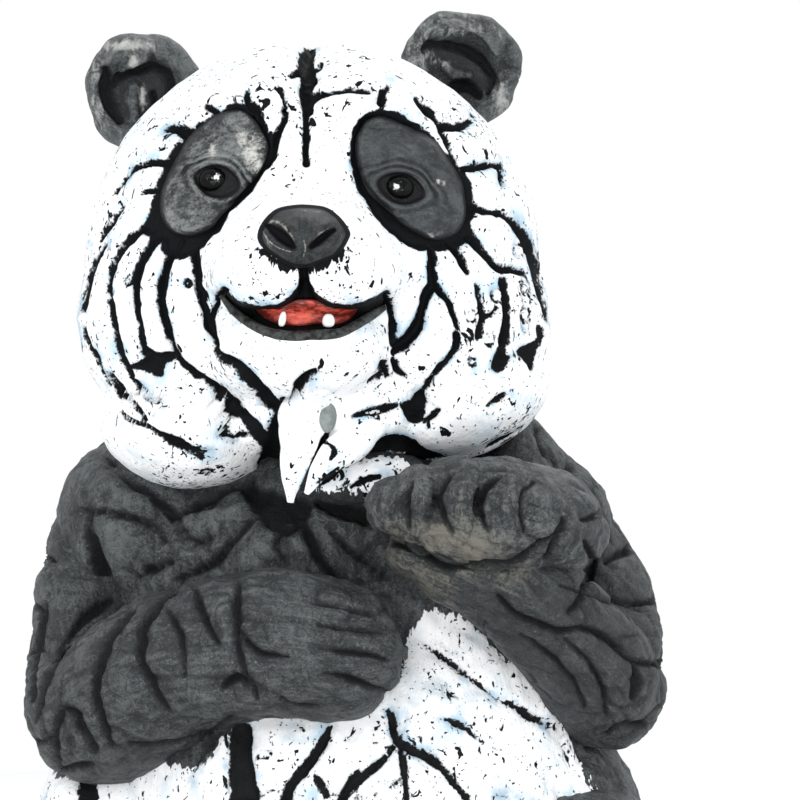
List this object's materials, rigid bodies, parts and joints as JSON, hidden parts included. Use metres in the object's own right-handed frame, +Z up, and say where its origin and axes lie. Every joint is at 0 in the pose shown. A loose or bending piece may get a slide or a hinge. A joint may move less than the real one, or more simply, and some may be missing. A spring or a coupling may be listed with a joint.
{
  "type": "panda figurine",
  "caption": "Seated panda figurine with raised paw, open smile and carved fur slabs, cast with a low rounded base that stands on its flat underside.",
  "frame": {"origin": "middle of the base's flat underside", "axes": "+Z up, the panda's face towards -Y, +X to the viewer's right"},
  "size_m": [0.2518, 0.221, 0.3788],
  "materials": {
    "white_fur": "hand-brushed matte white paint, black in the cracks and in small gaps of the paint",
    "black_fur": "satin black paint with a warm grey dry-brush on the high spots",
    "nose": "satin black paint",
    "eyes": "gloss black paint",
    "mouth": "satin red paint",
    "teeth": "gloss white paint",
    "base": "satin black paint"
  },
  "bodies": {
    "root": {"panda_figurine": "white_fur"}
  },
  "joints": []
}
